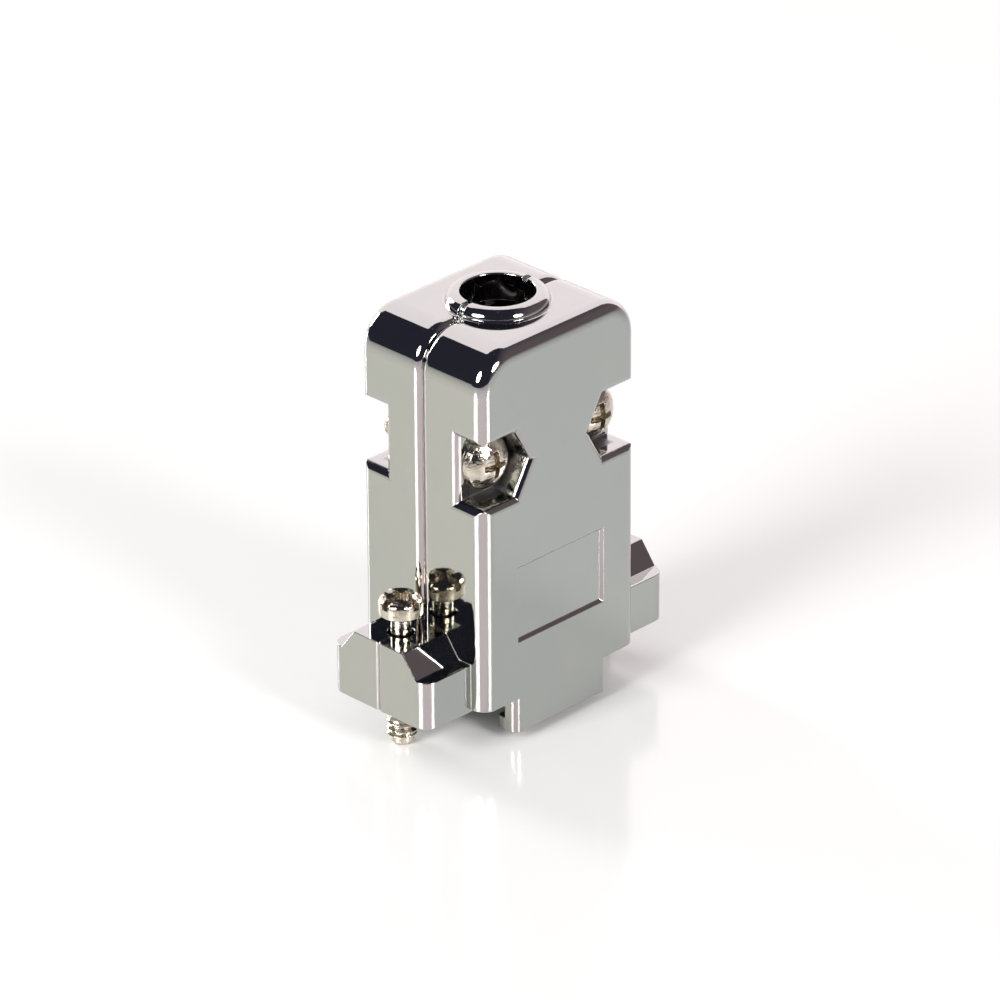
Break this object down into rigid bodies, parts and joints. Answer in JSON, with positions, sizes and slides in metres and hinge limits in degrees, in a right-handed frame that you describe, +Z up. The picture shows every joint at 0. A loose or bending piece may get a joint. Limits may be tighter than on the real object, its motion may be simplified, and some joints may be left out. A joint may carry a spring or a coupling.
{
  "type": "d-sub connector hood",
  "caption": "Straight two-piece metal hood for a D-subminiature plug, with captive jackscrews, a round cable outlet and a cable clamp inside.",
  "frame": {"origin": "middle of the plane on which the connector flange seats, level with the underside of the ears", "axes": "+Z up towards the cable outlet, +X along the wide face towards the right ear, -Y out of the front shell with the screw heads"},
  "size_m": [0.0308, 0.0154, 0.0407],
  "materials": {
    "shell": "bright nickel plate on a zinc casting",
    "screw": "warm nickel plate on turned steel",
    "clamp": "plain zinc plate"
  },
  "bodies": {
    "hood": {"front_shell": "shell", "rear_shell": "shell", "left_case_screw": "screw", "right_case_screw": "screw", "front_clamp_bar": "clamp", "rear_clamp_bar": "clamp", "left_clamp_screw": "clamp", "right_clamp_screw": "clamp", "left_clamp_nut": "clamp", "right_clamp_nut": "clamp"},
    "left_jack": {"left_jackscrew": "screw"},
    "right_jack": {"right_jackscrew": "screw"}
  },
  "joints": [
    {"name": "left_jack_float", "type": "slide", "parent": "hood", "child": "left_jack", "axis": [0, 0, 1], "range_m": [-0.00195, 0.00155]},
    {"name": "right_jack_float", "type": "slide", "parent": "hood", "child": "right_jack", "axis": [0, 0, 1], "range_m": [-0.00195, 0.00155]}
  ]
}
